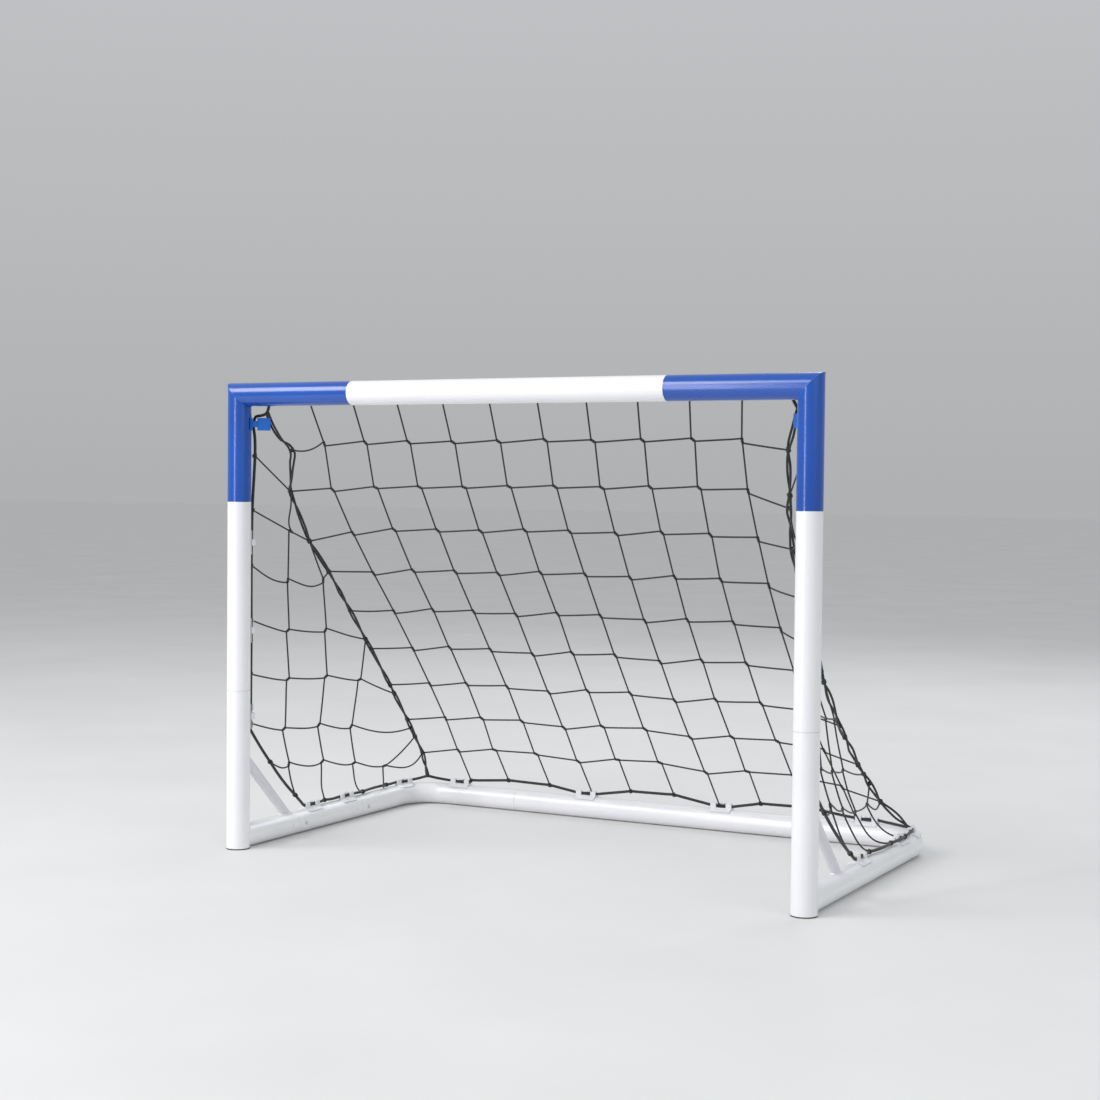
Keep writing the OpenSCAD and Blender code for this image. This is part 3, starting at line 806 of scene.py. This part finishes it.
class CordMesh:
    """Draws one panel's cords, with a twisted lap at each crossing and windings at each tie."""

    PRESSED = 0.85            # cords wound together are pressed this close
    LAP_OVER = 0.10           # how far a lap goes on past each of its ends, as a share of it
    WINDINGS, WINDINGS_WIDE = 1.8, 0.0062
    SUNK = 0.45               # how far a winding's middle is off its rope's skin, in cord radii

    def __init__(self, rig, seed):
        self.rig = rig
        self.rng = random.Random(seed)
        self.tubes = Tubes(8)

    def span(self, chain):
        pts = np.array([self.rig.at[i] for i in chain])
        self.tubes.add(smooth_path(pts, CORD_STEP), CORD_R, caps=False)

    def lap(self, i, j):
        """Both cords laid together and wound round each other."""
        a, b = self.rig.at[i], self.rig.at[j]
        d = b - a
        length = float(np.linalg.norm(d)) + 1e-9
        u = d / length
        ref = np.cross(u, X_AXIS) + 1e-6
        ref /= np.linalg.norm(ref)
        other = np.cross(u, ref)
        for turn in (0.0, math.pi):
            t = np.linspace(-self.LAP_OVER, 1.0 + self.LAP_OVER, 13)
            ang = turn + t * math.pi * 2.0 + self.rng.uniform(-0.3, 0.3)
            off = np.outer(np.cos(ang), ref) + np.outer(np.sin(ang), other)
            path = a + np.outer(t * length, u) + off * CORD_R * self.PRESSED
            self.tubes.add(path, CORD_R)

    def tie(self, i, along, radius):
        """The cord's end wound round the rope that it hangs from."""
        along = np.asarray(along, dtype=float) / np.linalg.norm(along)
        ref = np.cross(along, Z_AXIS + 0.3 * X_AXIS)
        ref /= np.linalg.norm(ref)
        other = np.cross(along, ref)
        t = np.linspace(0, 1, 24)
        ang = t * 2 * math.pi * self.WINDINGS + self.rng.uniform(0, TURN)
        ring = np.outer(np.cos(ang), ref) + np.outer(np.sin(ang), other)
        run = np.outer((t - 0.5) * self.WINDINGS_WIDE, along)
        path = self.rig.at[i] + ring * (radius + CORD_R * self.SUNK) + run
        self.tubes.add(path, CORD_R * self.PRESSED)


def draw_panel(net, key, name, node, seed):
    mesh = CordMesh(net.rig, seed)
    for chain in net.spans[key]:
        mesh.span(chain)
    for i, j in net.laps[key]:
        mesh.lap(i, j)
    for i, along, radius in net.ties[key]:
        mesh.tie(i, along, radius)
    return done(mesh.tubes.build(name, MATS["net_cord"]), "net_cord", node)


POST_STOPS = (0.229, 0.28, 0.34, 0.42, 0.50, 0.59, 0.66, 0.715, 0.757, 0.79)     # Z, going up
BAR_STOPS = (0.465, 0.38, 0.31, 0.23, 0.155, 0.08)                               # X, to the middle
BAR_START = 0.066             # inward from the post
BAR_DIP = 0.002               # the rope at the middle of the crossbar


def draw_border(net):
    """One closed rope: up the posts and over behind the crossbar, and back along the ground."""
    rng = random.Random(5)
    bar = np.array([0.0, POST_Y + ROPE_U, BAR_Z])
    halves = []
    for side in (-1, 1):
        pts = []
        for z in POST_STOPS:
            pts.append(rope_on_post(side, z) + X_AXIS * rng.uniform(-1, 1) * 0.0010)
        for inward, back, up in HOOK_WRAP:
            pts.append(np.array([side * (POST_X - inward), POST_Y + back, HOOK_Z + up]))
        pts.append(bar + X_AXIS * side * (POST_X - BAR_START))
        for x in BAR_STOPS:
            dip = 0.0 if x in REAR_CLIPS else rng.uniform(0.0005, 0.0025)
            pts.append(bar + X_AXIS * side * x - Z_AXIS * dip)
        halves.append(pts)
    over = halves[0] + [bar - Z_AXIS * BAR_DIP] + halves[1][::-1]
    ground = [net.rig.at[i] for i in net.rope]
    tubes = Tubes(12)
    tubes.add(smooth_path(ground[:-1] + over[::-1][1:-1], CORD_STEP), ROPE_R, closed=True)
    return done(tubes.build("border_rope_braided", MATS["net_rope"]), "net_rope", "border_rope")


def draw_seams(net):
    """Two thin ropes laid together down each rear edge of the net."""
    step = 0.008
    turn_length = 0.145       # one turn of the pair round each other
    waves, wandering = (0.23, 0.11, 0.067), 0.45     # what makes the turns uneven
    open_length = 0.19        # from one place where they stand apart to the next but one
    end_length, end_share = 0.03, 0.3     # they close up over this length at each end
    tubes = Tubes(10)
    for side in (-1, 1):
        rng = random.Random(40 + side)
        base = smooth_path(np.array([net.rig.at[i] for i in net.seams[side]]), step)
        run = np.arange(len(base)) * step
        u = np.gradient(base, axis=0)
        u /= np.linalg.norm(u, axis=1)[:, None]
        ref = np.cross(u, X_AXIS)
        ref /= np.linalg.norm(ref, axis=1)[:, None]
        other = np.cross(u, ref)
        ends = np.clip(np.minimum(run, run[-1] - run) / end_length, end_share, 1.0)
        spread = np.interp(run, *SEAM_SPREAD[side]) * ends
        wander = np.zeros(len(base))
        for wave in waves:
            wander += np.sin(run / wave * TURN + rng.uniform(0, TURN)) * wave / waves[0]
        opening = np.abs(np.sin(run / open_length * TURN + rng.uniform(0, 6)))
        for turn in (0.0, math.pi):
            ang = turn + run * TURN / turn_length + wandering * wander
            gap = SEAM_R * (1.0 + spread * opening)
            off = ref * (np.cos(ang) * gap)[:, None] + other * (np.sin(ang) * gap)[:, None]
            laid = np.vstack(((base + off)[:-1:2], (base + off)[-1:]))
            tubes.add(smooth_path(laid, CORD_STEP), SEAM_R)
    return done(tubes.build("seam_ropes_laid", MATS["net_rope"]), "net_rope", "seam_ropes")


net = GoalNet()
draw_panel(net, "rear", "rear_net_cords", "rear_net", 11)
draw_panel(net, -1, "left_side_net_cords", "left_side_net", 23)
draw_panel(net, 1, "right_side_net_cords", "right_side_net", 31)
draw_border(net)
draw_seams(net)

# ---- Weld beads ------------------------------------------------------------------------

BRACE_R = 0.0095
BRACE_TOP_Z = 0.170           # the brace's middle line, at the back of the post
BRACE_FOOT = 0.154            # and at the top of the stub, behind the post's middle
BRACE_BEAD_R, STUB_BEAD_R = 0.0017, 0.0018
STUB_BEAD_IN, STUB_BEAD_OUT = 0.995, 0.0003     # the share of the tube's width, and off the post
BEAD_BOTTOM_Z = 0.0022        # the bead under a stub stays off the floor


def round_tube(off):
    """How far out a tube's skin is, at off to the side of its middle line."""
    return math.sqrt(max(TUBE_R**2 - off * off, 0.0))


def brace_bead(side, at, along, axis, middle):
    """Round a brace that meets a tube whose middle line is at middle on the axis given."""
    across = np.cross(X_AXIS, along)
    path = []
    for k in range(40):
        t = 2 * math.pi * k / 40
        off = X_AXIS * math.cos(t) * BRACE_R + across * math.sin(t) * BRACE_R
        run = (middle + round_tube(off[0]) - (at[axis] + off[axis])) / along[axis]
        path.append(at + off + along * run + X_AXIS * side * POST_X)
    return np.array(path)


def stub_bead(side):
    """Round a foot stub where it meets the back of the post."""
    path = []
    for k in range(56):
        t = 2 * math.pi * k / 56
        x, z = math.cos(t) * TUBE_R, GROUND_Z + math.sin(t) * TUBE_R
        path.append((side * POST_X + x * STUB_BEAD_IN, POST_Y + round_tube(x) + STUB_BEAD_OUT,
                     max(z, BEAD_BOTTOM_Z)))
    return np.array(path)


def weld_beads():
    """Fillets where the braces and the stubs meet the posts, and the braces meet the stubs."""
    top = np.array([0.0, POST_Y + TUBE_R, BRACE_TOP_Z])
    foot = np.array([0.0, POST_Y + BRACE_FOOT, 2 * TUBE_R])
    along = (foot - top) / np.linalg.norm(foot - top)
    tubes = Tubes(8)
    for side in (-1, 1):
        for at, axis, middle in ((top, 1, POST_Y), (foot, 2, GROUND_Z)):
            tubes.add(brace_bead(side, at, along, axis, middle), BRACE_BEAD_R, closed=True)
        tubes.add(stub_bead(side), STUB_BEAD_R, closed=True)
    return done(tubes.build("weld_beads", MATS["white_paint"]), "white_paint")


weld_beads()

# ---- Floor and light -------------------------------------------------------------------

FLOOR_HALF = 40.0
LAMPS = (                     # name, place, aim, size, watts, color
    ("key", (-2.4, -3.2, 3.4), (0.0, 0.0, 0.4), (3.0, 2.2), 140, (1.0, 0.985, 0.96)),
    ("fill", (3.6, -2.0, 2.2), (0.0, 0.0, 0.4), (2.4, 2.0), 22, (0.90, 0.94, 1.0)),
    ("strip", (-1.3, -4.0, 1.0), (0.0, -0.3, 0.5), (0.45, 2.2), 30, (0.84, 0.80, 1.0)),
    ("back", (0.4, 3.4, 3.2), (0.0, 0.0, 0.5), (3.0, 1.6), 45, (0.93, 0.96, 1.0)),
)


def floor():
    s = Shader("floor", (0.74, 0.74, 0.73), 0.7)
    s.vary_color(s.noise(2.2, 4.0, 0.5), (0.72, 0.72, 0.71), (0.76, 0.76, 0.75), 0.3, 0.7)
    corners = [(x * FLOOR_HALF, y * FLOOR_HALF, 0)
               for x, y in ((-1, -1), (1, -1), (1, 1), (-1, 1))]
    ob = new_mesh("floor", corners, [(0, 1, 2, 3)], s.mat, smooth=False)


def lamp(name, at, aim, size, watts, color):
    data = bpy.data.lights.new(name, "AREA")
    data.shape = "RECTANGLE"
    data.size, data.size_y = size
    data.energy = watts
    data.color = color
    ob = bpy.data.objects.new(name, data)
    ob.location = at
    ob.rotation_euler = (Vector(aim) - Vector(at)).to_track_quat("-Z", "Y").to_euler()
    bpy.context.scene.collection.objects.link(ob)


def sky():
    """A pale backdrop: as grey as the far floor at the horizon and lighter above it."""
    world = bpy.data.worlds.new("world")
    world.use_nodes = True
    tree = world.node_tree
    back = tree.nodes["Background"]
    back.inputs["Strength"].default_value = 0.62
    coord = tree.nodes.new("ShaderNodeTexCoord")
    split = tree.nodes.new("ShaderNodeSeparateXYZ")
    ramp = tree.nodes.new("ShaderNodeValToRGB")
    tree.links.new(coord.outputs["Generated"], split.inputs["Vector"])
    tree.links.new(split.outputs["Z"], ramp.inputs["Fac"])
    tree.links.new(ramp.outputs["Color"], back.inputs["Color"])
    low, high = ramp.color_ramp.elements
    low.position, low.color = 0.0, (0.70, 0.71, 0.72, 1.0)
    high.position, high.color = 0.30, (0.88, 0.90, 0.93, 1.0)
    bpy.context.scene.world = world


floor()
for settings in LAMPS:
    lamp(*settings)
sky()
bpy.context.scene.view_settings.view_transform = "Standard"
